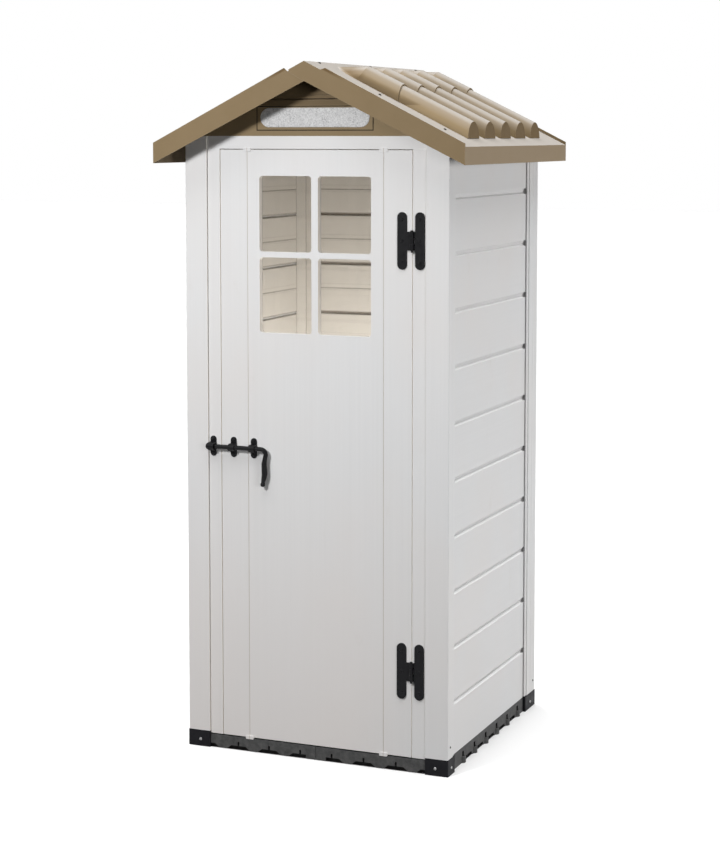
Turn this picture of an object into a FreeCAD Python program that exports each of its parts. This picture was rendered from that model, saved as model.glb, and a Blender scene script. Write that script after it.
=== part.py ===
# Tall narrow garden storage cabinet in white plastic with a brown tiled roof.
# Frame: millimetres, +Z up, front towards -Y, origin on the ground under the middle.

import FreeCAD
import Part
import math
import os

# Overall size
WIDTH = 820.0
DEPTH = 800.0
HALF_W = WIDTH / 2
HALF_D = DEPTH / 2

# Wall boards: one board shows this height, laid from a base line under the floor rim
BOARD_PITCH = 160.0
BOARD_COUNT = 11
BOARD_BASE = 34.3
BOARD_THICK = 26.0
BOARD_RECESS = 8.0
BOARD_SKIN = 1.8
BEVEL_DEEP = 6.0
UNDER_BEVEL = 12.0
UPPER_BEVEL = 4.0
JOINT_GAP = 1.0
TONGUE_FROM = 9.0
TONGUE_TO = 17.0
TONGUE_TALL = 6.5
GROOVE_DEEP = 5.0
BOARD_ROUND = 0.9
NOTCH_LONG = 16.0
TONGUE_EASE = 0.2
RAIL_WALL = 4.0
RAIL_LAP = 14.0

# Floor and feet
DECK_TOP = 40.0
RIM_TOP = 46.0
DECK_THICK = 3.5
SILL_DROP = 1.0
SILL_REACH = 12.0
TILE_SIDE = HALF_W - BOARD_RECESS
TILE_END = HALF_D - 4.0
CELL_PITCH = 100.0
CELL_WALL = 3.0
CELL_COLUMNS = 4
CELL_ROWS = 8
SKIRT_WALL = 12.0
NOTCH_DEEP = 9.0
NOTCH_LOW_HALF = 40.0
NOTCH_HIGH_HALF = 23.5
NOTCH_SEAM_HALF = 19.0
NOTCH_TALL = 12.0
NOTCH_SLOT_HALF = 3.0
NOTCH_SLOT_TOP = 24.0
LOOP_COUNT = 6
LOOP_R = 14.0
LOOP_OUT = 8.0
LOOP_TALL = 19.0
LOOP_HOLE_R = 9.5
LOOP_HOLE_TOP = 33.0
ARCH_LOW_HALF = 32.0
ARCH_HIGH_HALF = 22.0
FOOT_TOP = 48.5
FOOT_PROUD = 1.0
FOOT_WALL = 6.0
SPIGOT_TALL = 32.0
SPIGOT_WALL = 3.0
SPIGOT_EASE = 0.5
FOOT_EDGE = 1.5
FOOT_SCREW_Z = 21.0
FOOT_SCREW_IN = 38.0

# Corner posts: seen width on the front, depth on the side, rebated lip for the boards
POST_WIDTH = 69.5
POST_LIP = 16.0
POST_LIP_STEP = 3.0
POST_LIP_GAP = 2.5
FRONT_POST_DEPTH = 40.0 + POST_LIP
REAR_POST_DEPTH = 81.0 + POST_LIP
POST_WALL = 2.5
POST_TOP = 1807.5
SLOT_DEPTH = 14.0
POST_ROUND = 3.0
POST_LINES = (354.0, 380.0)
POST_LINE_DEEP = 1.2
POST_LINE_HALF = 2.2
POST_SCREW_Z = 81.6
POST_SCREW_IN = 19.5

# Front frame and door
FRAME_RECESS = 4.0
FACE_Y = -HALF_D + FRAME_RECESS
FRAME_THICK = 26.0
HEADER_BOTTOM = 1770.7
JAMB_BOTTOM = 43.0
DOOR_GAP = 1.8
DOOR_LINE = 299.0
DOOR_THICK = 24.0
DOOR_BOTTOM = 43.5
DOOR_TOP = 1768.5
PANEL_LINE = 211.8
DOOR_SKIN = 2.0
JOINER_HALF = 10.0
JOINER_SET = 7.0
JOINER_WALL = 4.0
CHANNEL_COUNT = 6
CHANNEL_WALL = 4.0
CHANNEL_TOP = 1222.0
TAB_HALF = 12.5
TAB_THICK = 1.8
TAB_LAP = 5.0
TAB_OVER = 6.0
STOP_WIDTH = 12.0
STOP_BACK = 4.0
STOP_THICK = 6.0
STOP_ARM = 14.0
FRAME_WALL = 4.0
SHADOW_LINE = 2.2
EDGE = 1.0

# Door window
WINDOW_HALF = 173.5
WINDOW_LOW = 1242.0
WINDOW_HIGH = 1694.0
BAR_WIDE = 21.0
BAR_TALL = 16.0
PANE_ROUND = 9.0
PANE_THICK = 3.0
PANE_LAP = 6.0

# Gables
GABLE_JOINT = 1909.0
GABLE_TOP = 1978.0
GABLE_HALF = 408.0
LIGHT_Z = 1860.0
LIGHT_WIDE = 338.0
LIGHT_TALL = 55.0
LIGHT_DEEP = 4.0
LINE_HALF = 181.0
LINE_LOW = 1823.0
LINE_HIGH = 1893.0
LINE_WIDE = 2.5
LINE_DEEP = 3.0
LIGHT_EASE = 0.6
LIGHT_LAP = 6.0
LIGHT_PROUD = 0.5
UNDERCUT_DEEP = 9.0
STEP_LOW = 12.0
STEP_TALL = 3.0
POCKET_DEEP = 8.0
BEAM_HALF = 20.0
BEAM_LOW = 1945.0
BEAM_WALL = 4.0
BEAM_HOLLOW_TOP = 1980.0

# Roof, given by the front outline
ROOF_HALF_W = 478.8
ROOF_HALF_D = 468.6
RIDGE_TOP = 2017.2
PLATE_EAVE = 1779.0
RIM_EAVE = 1788.2
RIM_RIDGE = 2029.0
FASCIA_LOW = 1729.1
FASCIA_APEX = 1961.2
PLATE_THICK = 5.0
SKIRT = 4.0
CAP_REACH = 47.0
CAP_THICK = 4.0
JOGGLE = 7.0
CAP_EDGE = 50.0
CAP_STEP = 15.0
CAP_GAP = 5.0
HALVES_GAP = 0.4
SLOPE = (RIDGE_TOP - PLATE_EAVE) / ROOF_HALF_W
PITCH_ANGLE = math.atan(SLOPE)

# Barrel tiles on the roof
TILE_PITCH = 140.0
TILE_ROWS = 5
TILE_SKIN = 3.5
TILE_TALL = 80.0

# Two courses of barrel tiles: distances from the ridge, with chord and rise at both ends
UPPER_COURSE = {"start": 24.0, "end": 228.0, "chords": (94.0, 98.0), "rises": (42.0, 46.0)}
LOWER_COURSE = {"start": 205.0, "end": 437.0, "chords": (93.0, 96.0), "rises": (41.0, 44.0)}
TILE_END_WALL = 6.0
TILE_ROUND = 2.5
UNDER_CAP = 57.0
NOSE_R = 50.0

# Hinges
PIN_X = DOOR_LINE
PIN_Y = FACE_Y - 6.5
PIN_R = 3.0
KNUCKLE_R = 6.0
LEAF_THICK = 4.0
LEAF_TALL = 161.0
BRIDGE_TALL = 52.0
HINGE_HEIGHTS = {"upper": 1516.0, "lower": 292.5}
HINGE_SCREWS = (-60.0, 0.0, 60.0)
DOOR_LEAF_X = 268.0
FRAME_LEAF_X = 321.5
LEAF_WIDE = 28.5
KNUCKLE_GAP = 0.4
NECK_EASE = 1.5
PIN_EASE = 0.06
PIN_HEAD_R = 4.6
PIN_END_R = 2.4

# Latch
BOLT_Z = 903.5
BOLT_Y = FACE_Y - 14.0
BOLT_R = 6.5
STRAP_WIDE = 19.0
STRAP_TALL = 59.0
STRAP_THICK = 3.0
KEEPER_X = -324.7
STRAP_OUTER_X = -258.9
STRAP_INNER_X = -193.8
BOLT_TIP = -314.0
HANDLE_START = -168.0
BOLT_EASE = 0.08
STRAP_SCREWS = 21.0
SADDLE_R = 10.5
KEEPER_R = 11.5
KEEPER_ROOM = 7.2

# Handle grip: steps down from the bend, sideways shift and radius of the swelling grip
GRIP = [
    (0.0, 0.0, 6.5), (12.0, -3.0, 6.6), (26.0, -5.5, 7.4), (42.0, -4.5, 8.3),
    (58.0, -4.0, 8.3), (72.0, -6.5, 7.2), (82.0, -9.0, 5.6), (86.0, -9.8, 7.0),
    (91.0, -10.0, 6.4), (94.0, -10.0, 3.6),
]
GRIP_SIDES = 20
BEND_STEPS = 6
HEAD_SIDES = 12
SHANK_SIDES = 8
BEND_R = 15.0
BEND_START = -165.0


def vec(x, y, z):
    return FreeCAD.Vector(x, y, z)


def box(x0, x1, y0, y1, z0, z1):
    return Part.makeBox(x1 - x0, y1 - y0, z1 - z0, vec(x0, y0, z0))


def prism_y(points, y0, y1):
    """Outline in X and Z, pulled along Y."""
    loop = [vec(x, y0, z) for x, z in points]
    wire = Part.makePolygon(loop + loop[:1])
    return Part.Face(wire).extrude(vec(0, y1 - y0, 0))


def prism_x(points, x0, x1):
    """Outline in Y and Z, pulled along X."""
    loop = [vec(x0, y, z) for y, z in points]
    wire = Part.makePolygon(loop + loop[:1])
    return Part.Face(wire).extrude(vec(x1 - x0, 0, 0))


def prism_z(points, z0, z1):
    """Outline in X and Y, pulled along Z."""
    loop = [vec(x, y, z0) for x, y in points]
    wire = Part.makePolygon(loop + loop[:1])
    return Part.Face(wire).extrude(vec(0, 0, z1 - z0))


def stadium(cx, cz, wide, tall, y0, y1):
    """Upright or lying plate with half-round ends, facing along Y."""
    r = min(wide, tall) / 2
    dx = wide / 2 - r
    dz = tall / 2 - r
    ends = []
    for side in (-1, 1):
        centre = vec(cx + side * dx, y0, cz + side * dz)
        ends.append(Part.makeCylinder(r, y1 - y0, centre, vec(0, 1, 0)))
    if dz > 0:
        middle = box(cx - r, cx + r, y0, y1, cz - dz, cz + dz)
    else:
        middle = box(cx - dx, cx + dx, y0, y1, cz - r, cz + r)
    return middle.fuse(ends).removeSplitter()


def rounded_window(x0, x1, z0, z1, y0, y1, r):
    """Upright block with rounded corners, used to cut a pane opening."""
    block = box(x0, x1, y0, y1, z0, z1)
    upright = [e for e in block.Edges if abs(e.tangentAt(e.FirstParameter).y) > 0.99]
    return block.makeFillet(r, upright)


def mirror_x(shape):
    return shape.mirror(vec(0, 0, 0), vec(1, 0, 0))


def mirror_y(shape):
    return shape.mirror(vec(0, 0, 0), vec(0, 1, 0))


def ring(at, out, radius, sides, turn=0.0):
    """Closed outline with equal sides, standing square to a direction."""
    across = out.cross(vec(0, 0, 1))
    if across.Length < 0.01:
        across = out.cross(vec(0, 1, 0))
    across.normalize()
    up = out.cross(across)
    corners = []
    for i in range(sides + 1):
        angle = 2 * math.pi * (i % sides + turn) / sides
        corners.append(at + across * (radius * math.cos(angle)) + up * (radius * math.sin(angle)))
    return Part.makePolygon(corners)


def pan_screw(at, out, head_r=5.0, head_tall=2.2, shank_r=2.0, shank_long=3.0):
    """Tapering head standing on a face, with a short shank in the hole behind it."""
    low = ring(at, out, head_r, HEAD_SIDES)
    high = ring(at + out * head_tall, out, head_r * 0.65, HEAD_SIDES)
    head = Part.makeLoft([low, high], True, True)
    shank = Part.Face(ring(at, out, shank_r, SHANK_SIDES)).extrude(out * -shank_long)
    return head.fuse(shank)


# Floor

def floor_cells():
    """Square hollows under the deck, with walls between them."""
    cells = []
    half = (CELL_PITCH - CELL_WALL) / 2
    end = TILE_END - SKIRT_WALL
    for i in range(CELL_COLUMNS):
        for j in range(CELL_ROWS):
            cx = CELL_PITCH * (i + 0.5)
            cy = CELL_PITCH * (j - (CELL_ROWS - 1) / 2)
            side = min(cx + half, TILE_SIDE - CELL_WALL)
            front = max(cy - half, -end)
            back = min(cy + half, end)
            cells.append(box(cx - half, side, front, back, -1, DECK_TOP - DECK_THICK))
    return cells


def skirt_notches():
    """Ground notches of the front and rear skirt, each with a slot above it."""
    cuts = []
    for i in range(CELL_COLUMNS):
        cx = CELL_PITCH * (i + 0.5)
        low_half = NOTCH_SEAM_HALF if i == 0 else NOTCH_LOW_HALF
        high_half = NOTCH_SEAM_HALF if i == 0 else NOTCH_HIGH_HALF
        outline = [(cx - low_half, -1), (cx + NOTCH_LOW_HALF, -1)]
        outline += [(cx + NOTCH_HIGH_HALF, NOTCH_TALL), (cx - high_half, NOTCH_TALL)]
        for y0, y1 in ((-TILE_END - 1, -TILE_END + NOTCH_DEEP), (TILE_END - NOTCH_DEEP, TILE_END + 1)):
            cuts.append(prism_y(outline, y0, y1))
            slot = NOTCH_SLOT_HALF
            cuts.append(box(cx - slot, cx + slot, y0, y1, NOTCH_TALL - 1, NOTCH_SLOT_TOP))
    return cuts


def side_loops():
    """Round loops along the outer side that would link a neighbouring tile, and their holes."""
    loops = []
    cuts = []
    centre_x = TILE_SIDE + LOOP_OUT - LOOP_R
    for k in range(LOOP_COUNT):
        cy = CELL_PITCH * (k - (LOOP_COUNT - 1) / 2)
        disc = Part.makeCylinder(LOOP_R, LOOP_TALL, vec(centre_x, cy, 0))
        seen = box(TILE_SIDE - 1, TILE_SIDE + LOOP_R, cy - LOOP_R, cy + LOOP_R, 0, LOOP_TALL)
        loops.append(disc.common(seen))
        cuts.append(Part.makeCylinder(LOOP_HOLE_R, LOOP_HOLE_TOP + 1, vec(centre_x, cy, -1)))
    for k in range(1, LOOP_COUNT):
        cy = CELL_PITCH * (k - LOOP_COUNT / 2)
        outline = [(cy - ARCH_LOW_HALF, -1), (cy + ARCH_LOW_HALF, -1)]
        outline += [(cy + ARCH_HIGH_HALF, NOTCH_TALL), (cy - ARCH_HIGH_HALF, NOTCH_TALL)]
        cuts.append(prism_x(outline, TILE_SIDE - CELL_WALL - 1, TILE_SIDE + 1))
    return loops, cuts


def floor_tile():
    """Right-hand floor tile: ribbed deck, sill, skirt with notches and loops, rim under the walls."""
    deck = box(0, TILE_SIDE, -TILE_END, TILE_END, 0, DECK_TOP)
    sill_back = FACE_Y + FRAME_THICK + SILL_REACH
    sill = box(0, TILE_SIDE, -TILE_END, sill_back, DECK_TOP - SILL_DROP, DECK_TOP)
    seam = box(0, EDGE, -TILE_END, -TILE_END + 2 * EDGE, 0, DECK_TOP)
    side_rim = box(TILE_SIDE - BOARD_THICK, TILE_SIDE, -TILE_END, TILE_END, DECK_TOP, RIM_TOP)
    rim_front = HALF_D - BOARD_RECESS - BOARD_THICK
    rear_rim = box(0, TILE_SIDE, rim_front, TILE_END, DECK_TOP, RIM_TOP)
    loops, cuts = side_loops()
    tile = deck.cut([sill, seam]).fuse([side_rim, rear_rim]).cut(floor_cells()).fuse(loops)
    tile = tile.cut(skirt_notches() + cuts)
    corners = []
    reach = HALF_W + LOOP_R
    for y0, y1 in ((-HALF_D, -HALF_D + FRONT_POST_DEPTH), (HALF_D - REAR_POST_DEPTH, HALF_D)):
        corners.append(box(HALF_W - POST_WIDTH, reach, y0, y1, -1, RIM_TOP + 1))
    return tile.cut(corners).removeSplitter()


def foot(leg):
    """Right front corner boot: a cup under the post with a spigot that fills the post."""
    x0 = HALF_W - POST_WIDTH
    x1 = HALF_W + FOOT_PROUD
    y0 = -HALF_D - FOOT_PROUD
    y1 = -HALF_D + leg
    block = box(x0, x1, y0, y1, 0, FOOT_TOP)
    seen = []
    for edge in block.Edges:
        middle = edge.CenterOfMass
        if middle.z > 1 and (abs(middle.x - x1) < 0.1 or abs(middle.y - y0) < 0.1):
            seen.append(edge)
    block = block.makeChamfer(FOOT_EDGE, seen)
    wall = FOOT_WALL
    outer = wall + FOOT_PROUD
    hollow = box(x0 + wall, x1 - outer, y0 + outer, y1 - wall, wall, FOOT_TOP + 1)
    sx0, sx1, sy0, sy1 = post_chamber(leg)
    ease = SPIGOT_EASE
    top = FOOT_TOP + SPIGOT_TALL
    spigot = box(sx0 + ease, sx1 - ease, sy0 + ease, sy1 - ease, wall - 1, top)
    inset = ease + SPIGOT_WALL
    core = box(sx0 + inset, sx1 - inset, sy0 + inset, sy1 - inset, wall + 2, top + 1)
    return block.cut(hollow).fuse(spigot).cut(core).removeSplitter()


# Corner posts

def post_chamber(leg):
    """Inner hollow of the right front post, as X and Y limits."""
    x0 = HALF_W - POST_WIDTH + SLOT_DEPTH + POST_WALL
    return x0, HALF_W - POST_WALL, -HALF_D + POST_WALL, -HALF_D + leg - SLOT_DEPTH - POST_WALL


def post(leg, face_recess):
    """Right front post: hollow extrusion with one slot for the side boards and one for the front."""
    x0 = HALF_W - POST_WIDTH
    y0 = -HALF_D
    y1 = y0 + leg
    body = box(x0, HALF_W, y0, y1, FOOT_TOP, POST_TOP)
    middle = vec(HALF_W, y0, (FOOT_TOP + POST_TOP) / 2)
    corner = [e for e in body.Edges if e.CenterOfMass.distanceToPoint(middle) < 0.1]
    body = body.makeFillet(POST_ROUND, corner)
    top = POST_TOP + 1
    lip = box(HALF_W - POST_LIP_STEP, HALF_W + 1, y1 - POST_LIP, y1 + 1, 0, top)
    side_slot = box(TILE_SIDE - BOARD_THICK, TILE_SIDE + POST_LIP_GAP, y1 - SLOT_DEPTH, y1 + 1, 0, top)
    board_face = y0 + face_recess
    front_slot = box(x0 - 1, x0 + SLOT_DEPTH, board_face, board_face + BOARD_THICK, 0, top)
    cx0, cx1, cy0, cy1 = post_chamber(leg)
    chamber = box(cx0, cx1, cy0, cy1, 0, top)
    return body.cut([lip, side_slot, front_slot, chamber]).removeSplitter()


def rear_post():
    """Right rear post, with two fine lines pressed into its side."""
    blank = mirror_y(post(REAR_POST_DEPTH, BOARD_RECESS))
    lines = []
    for y in POST_LINES:
        outline = [(HALF_W - POST_LINE_DEEP, y)]
        outline += [(HALF_W + 1, y - POST_LINE_HALF), (HALF_W + 1, y + POST_LINE_HALF)]
        lines.append(prism_z(outline, 0, POST_TOP + 1))
    return blank.cut(lines).removeSplitter()


# Walls

def board_outline(z0, z1, first, last):
    """Board section as depth from the outer face and height; tongue on top, groove below."""
    t = BOARD_THICK
    middle = z1 - BOARD_PITCH / 2
    if first:
        points = [(0, z0)]
    else:
        points = [(0, z0 + UNDER_BEVEL), (BEVEL_DEEP, z0 + JOINT_GAP), (TONGUE_FROM, z0 + JOINT_GAP)]
        points += [(TONGUE_FROM, z0 + TONGUE_TALL), (TONGUE_TO, z0 + TONGUE_TALL), (TONGUE_TO, z0)]
    points += [(t - BOARD_ROUND, z0), (t, z0 + BOARD_ROUND), (t, middle - GROOVE_DEEP)]
    points += [(t - GROOVE_DEEP, middle), (t, middle + GROOVE_DEEP)]
    points += [(t, z1 - BOARD_ROUND), (t - BOARD_ROUND, z1)]
    if not last:
        high = z1 + TONGUE_TALL - 2.5 * TONGUE_EASE
        outer = TONGUE_FROM + TONGUE_EASE
        inner = TONGUE_TO - TONGUE_EASE
        points += [(inner, z1), (inner, high), (outer, high), (outer, z1)]
    return points + [(BEVEL_DEEP, z1), (0, z1 - UPPER_BEVEL)]


def board_chambers(z0, z1):
    """Outlines of the two hollows inside a board, following the groove on its inner face."""
    s = BOARD_SKIN
    t = BOARD_THICK
    middle = z1 - BOARD_PITCH / 2
    outlines = []
    for end, side in ((z0 + UNDER_BEVEL + s, -1), (z1 - UPPER_BEVEL - s, 1)):
        outline = [(s, end), (t - s, end), (t - s, middle + side * (GROOVE_DEEP + 1))]
        outline += [(t - GROOVE_DEEP - s, middle + side), (s, middle + side)]
        outlines.append(outline)
    return outlines


def wall_boards(start, end, place, notched):
    """Stack of hollow boards; place turns a section and a run into a solid."""
    boards = []
    for k in range(BOARD_COUNT):
        z0 = max(BOARD_BASE + k * BOARD_PITCH, RIM_TOP)
        z1 = BOARD_BASE + (k + 1) * BOARD_PITCH
        first = k == 0
        last = k == BOARD_COUNT - 1
        cuts = [place(outline, start - 1, end + 1) for outline in board_chambers(z0, z1)]
        if first:
            deep = BOARD_THICK + 1
            over_boot = [(-1, z0 - 1), (deep, z0 - 1), (deep, FOOT_TOP), (-1, FOOT_TOP)]
            cuts.append(place(over_boot, start - 1, start + SLOT_DEPTH))
            cuts.append(place(over_boot, end - SLOT_DEPTH, end + 1))
        if notched:
            spans = [] if first else [(z0 - 1, z0 + UNDER_BEVEL)]
            spans += [] if last else [(z1 - UPPER_BEVEL - 1, z1 + 1)]
            for low, high in spans:
                notch = [(-1, low), (TONGUE_FROM, low), (TONGUE_FROM, high), (-1, high)]
                cuts.append(place(notch, end - SLOT_DEPTH - NOTCH_LONG, end + 1))
        boards.append(place(board_outline(z0, z1, first, last), start, end).cut(cuts))
    return Part.makeCompound(boards)


def side_boards():
    """Right wall: sections stand across X and run along Y."""
    def place(outline, y0, y1):
        return prism_y([(TILE_SIDE - u, z) for u, z in outline], y0, y1)
    y_from = -HALF_D + FRONT_POST_DEPTH - SLOT_DEPTH
    y_to = HALF_D - REAR_POST_DEPTH + SLOT_DEPTH
    return wall_boards(y_from, y_to, place, True)


def rear_boards():
    """Rear wall: sections stand across Y and run along X."""
    def place(outline, x0, x1):
        return prism_x([(HALF_D - BOARD_RECESS - u, z) for u, z in outline], x0, x1)
    reach = HALF_W - POST_WIDTH + SLOT_DEPTH
    return wall_boards(-reach, reach, place, False)


def wall_top():
    return BOARD_BASE + BOARD_COUNT * BOARD_PITCH


def plate_under(x):
    """Height of the roof plate's underside at a distance from the ridge."""
    return RIDGE_TOP - PLATE_THICK / math.cos(PITCH_ANGLE) - SLOPE * x


def eave_rail():
    """Right top rail: caps the side boards and carries the sloping roof plate."""
    wall = RAIL_WALL
    inner = TILE_SIDE - BOARD_THICK - wall
    outer = TILE_SIDE + wall
    top = wall_top()
    low = top - RAIL_LAP
    outline = [(inner, low), (inner + wall, low), (inner + wall, top), (outer - wall, top)]
    outline += [(outer - wall, low), (outer, low)]
    outline += [(outer, plate_under(outer)), (inner, plate_under(inner))]
    y0 = -HALF_D + FRONT_POST_DEPTH
    y1 = HALF_D - REAR_POST_DEPTH
    return prism_y(outline, y0, y1)


def rear_rail():
    """Rail between the rear boards and the rear gable."""
    reach = HALF_W - POST_WIDTH
    y1 = HALF_D - BOARD_RECESS
    y0 = y1 - BOARD_THICK
    front = y0 - RAIL_WALL
    top = wall_top()
    low = top - RAIL_LAP
    outline = [(front, low), (y0, low), (y0, top), (y1, top), (y1, POST_TOP), (front, POST_TOP)]
    return prism_x(outline, -reach, reach)


# Front frame

def jamb():
    """Right jamb: face strip, tongue in the post slot and a stop behind the door edge."""
    face = DOOR_LINE + DOOR_GAP / 2
    tongue = HALF_W - POST_WIDTH + SLOT_DEPTH
    back = FACE_Y + FRAME_THICK
    edge = HALF_W - POST_WIDTH
    stop_back = back + STOP_BACK + STOP_THICK
    outline = [(face, FACE_Y), (edge - SHADOW_LINE, FACE_Y), (edge, FACE_Y + SHADOW_LINE)]
    outline += [(tongue, FACE_Y + SHADOW_LINE), (tongue, back), (face + STOP_WIDTH, back)]
    outline += [(face + STOP_WIDTH, stop_back), (face - STOP_WIDTH, stop_back)]
    outline += [(face - STOP_WIDTH, back + STOP_BACK), (face, back + STOP_BACK)]
    solid = prism_z(outline, JAMB_BOTTOM, HEADER_BOTTOM)
    over_foot = box(edge, HALF_W, -HALF_D, 0, 0, FOOT_TOP)
    wall = FRAME_WALL
    front = FACE_Y + wall + SHADOW_LINE
    hollow = box(face + wall, tongue - wall, front, back - wall, 0, HEADER_BOTTOM + 1)
    return solid.cut([over_foot, hollow])


def front_header():
    """Rail over the door, held in both posts, with a stop behind the door's top edge."""
    reach = HALF_W - POST_WIDTH + SLOT_DEPTH
    back = FACE_Y + FRAME_THICK
    wall = FRAME_WALL
    arm_top = HEADER_BOTTOM + STOP_ARM
    rail = box(-reach, reach, FACE_Y, back, HEADER_BOTTOM, POST_TOP)
    half = DOOR_LINE + DOOR_GAP / 2 - STOP_WIDTH
    stop_front = back + STOP_BACK
    stop_back = stop_front + STOP_THICK
    stop = box(-half, half, stop_front, stop_back, HEADER_BOTTOM - STOP_WIDTH, arm_top)
    arm = box(-half, half, back, stop_back, HEADER_BOTTOM + wall, arm_top)
    low = HEADER_BOTTOM
    hollow = box(-reach - 1, reach + 1, FACE_Y + wall, back - wall, low + wall, POST_TOP - wall)
    outline = [(FACE_Y - 1, low - 1), (FACE_Y + SHADOW_LINE / 2, low - 1), (FACE_Y - 1, low + SHADOW_LINE)]
    line = prism_x(outline, -reach, reach)
    return rail.cut([hollow, line]).fuse([stop, arm]).removeSplitter()


# Gables

def gable_outline(low, high):
    """Trapezium that follows the roof plate down both slopes between two heights."""
    def reach(z):
        return min((plate_under(0) - z) / SLOPE, GABLE_HALF)
    return [(-reach(low), low), (reach(low), low), (reach(high), high), (-reach(high), high)]


def gable_lower(with_light):
    """Lower gable board with a grooved rectangle and, in front, the seat of the light."""
    back = FACE_Y + FRAME_THICK
    board = prism_y(gable_outline(POST_TOP, GABLE_JOINT), FACE_Y, back)
    deep = FACE_Y + LINE_DEEP
    half = LINE_HALF - LINE_WIDE
    outer = box(-LINE_HALF, LINE_HALF, FACE_Y, deep, LINE_LOW, LINE_HIGH)
    inner = box(-half, half, FACE_Y, deep, LINE_LOW + LINE_WIDE, LINE_HIGH - LINE_WIDE)
    board = board.cut(outer.cut(inner))
    if with_light:
        wide = LIGHT_WIDE + LIGHT_EASE
        tall = LIGHT_TALL + LIGHT_EASE
        lap = 2 * LIGHT_LAP
        seat = stadium(0, LIGHT_Z, wide, tall, FACE_Y, FACE_Y + LIGHT_DEEP)
        hole = stadium(0, LIGHT_Z, LIGHT_WIDE - lap, LIGHT_TALL - lap, FACE_Y, back)
        board = board.cut([seat, hole])
    return board


def gable_upper():
    """Upper front gable board: undercut lower edge, fine step, pocket for the ridge beam."""
    back = FACE_Y + FRAME_THICK
    board = prism_y(gable_outline(GABLE_JOINT, GABLE_TOP), FACE_Y, back)
    low = GABLE_JOINT
    inner = FACE_Y + UNDERCUT_DEEP
    outline = [(FACE_Y - 1, low - 1), (inner, low - 1), (inner, low + 3), (FACE_Y - 1, low + 5)]
    undercut = prism_x(outline, -HALF_W, HALF_W)
    step_low = low + STEP_LOW
    step = box(-HALF_W, HALF_W, FACE_Y - 1, FACE_Y + STEP_TALL, step_low, step_low + STEP_TALL)
    pocket = box(-BEAM_HALF, BEAM_HALF, back - POCKET_DEEP, back + 1, BEAM_LOW, GABLE_TOP + 1)
    return board.cut([undercut, step, pocket])


def gable_light():
    """Frosted lying plate that lets light in through the front gable."""
    face = FACE_Y - LIGHT_PROUD
    plate = stadium(0, LIGHT_Z, LIGHT_WIDE, LIGHT_TALL, face, FACE_Y + LIGHT_DEEP)
    front = [e for e in plate.Edges if abs(e.CenterOfMass.y - face) < 0.01]
    return plate.makeChamfer(EDGE, front)


def ridge_beam():
    """Beam under the ridge, its top following both roof plates."""
    left_top = plate_under(0) - JOGGLE
    outline = [(-BEAM_HALF, BEAM_LOW), (BEAM_HALF, BEAM_LOW), (BEAM_HALF, plate_under(BEAM_HALF))]
    outline += [(0, plate_under(0)), (0, left_top), (-BEAM_HALF, left_top - SLOPE * BEAM_HALF)]
    end = HALF_D - FRAME_RECESS - FRAME_THICK + POCKET_DEEP
    beam = prism_y(outline, -end, end)
    half = BEAM_HALF - BEAM_WALL
    hollow = box(-half, half, -end - 1, end + 1, BEAM_LOW + BEAM_WALL, BEAM_HOLLOW_TOP)
    return beam.cut(hollow)


# Roof

def fascia_outline_right():
    """Front outline of the right roof half, with its ridge cap folding over the left half."""
    step_x = CAP_EDGE + CAP_STEP
    rim_slope = (RIM_RIDGE - RIM_EAVE) / ROOF_HALF_W
    points = [(ROOF_HALF_W, FASCIA_LOW), (ROOF_HALF_W, RIM_EAVE)]
    points += [(step_x, RIM_RIDGE - rim_slope * step_x), (CAP_EDGE, RIDGE_TOP - SLOPE * CAP_EDGE)]
    cap_end = RIDGE_TOP - SLOPE * CAP_REACH
    points += [(0, RIDGE_TOP), (-CAP_REACH, cap_end), (-CAP_REACH, cap_end - JOGGLE), (0, FASCIA_APEX)]
    return points


def fascia_outline_left():
    """Front outline of the left roof half, cut away under the cap."""
    rim_slope = (RIM_RIDGE - RIM_EAVE) / ROOF_HALF_W
    step_x = CAP_REACH + CAP_STEP
    seam_top = RIDGE_TOP - SLOPE * CAP_REACH - JOGGLE
    points = [(-ROOF_HALF_W, FASCIA_LOW), (-ROOF_HALF_W, RIM_EAVE)]
    points += [(-step_x, RIM_RIDGE - rim_slope * step_x)]
    points += [(-CAP_REACH - CAP_GAP, seam_top + SLOPE * CAP_GAP)]
    points += [(-CAP_REACH, seam_top), (0, FASCIA_APEX)]
    return points


def plate_outline_right():
    drop = PLATE_THICK / math.cos(PITCH_ANGLE)
    cap_drop = CAP_THICK / math.cos(PITCH_ANGLE)
    cap_end = RIDGE_TOP - SLOPE * CAP_REACH
    points = [(ROOF_HALF_W, PLATE_EAVE), (0, RIDGE_TOP), (-CAP_REACH, cap_end)]
    points += [(-CAP_REACH, cap_end - cap_drop), (0, RIDGE_TOP - cap_drop)]
    points += [(0, RIDGE_TOP - drop), (ROOF_HALF_W, PLATE_EAVE - drop)]
    return points


def plate_outline_left():
    drop = PLATE_THICK / math.cos(PITCH_ANGLE)
    low_top = RIDGE_TOP - JOGGLE
    turn = CAP_REACH + CAP_GAP - 1
    near = turn + 4
    top = [(-ROOF_HALF_W, PLATE_EAVE), (-near, RIDGE_TOP - SLOPE * near)]
    top += [(-turn, low_top - SLOPE * turn), (-HALVES_GAP, low_top - SLOPE * HALVES_GAP)]
    return top + [(x, z - drop) for x, z in reversed(top)]


def slope_slab(start, end, y, low, high):
    """Upright-ended block that follows the slope over one row of tiles."""
    corners = []
    for x, up in ((start, low), (end, low), (end, high), (start, high)):
        corners.append((x, RIDGE_TOP - SLOPE * x + up))
    half = TILE_PITCH / 2 - TILE_END_WALL
    return prism_y(corners, y - half, y + half)


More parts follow.
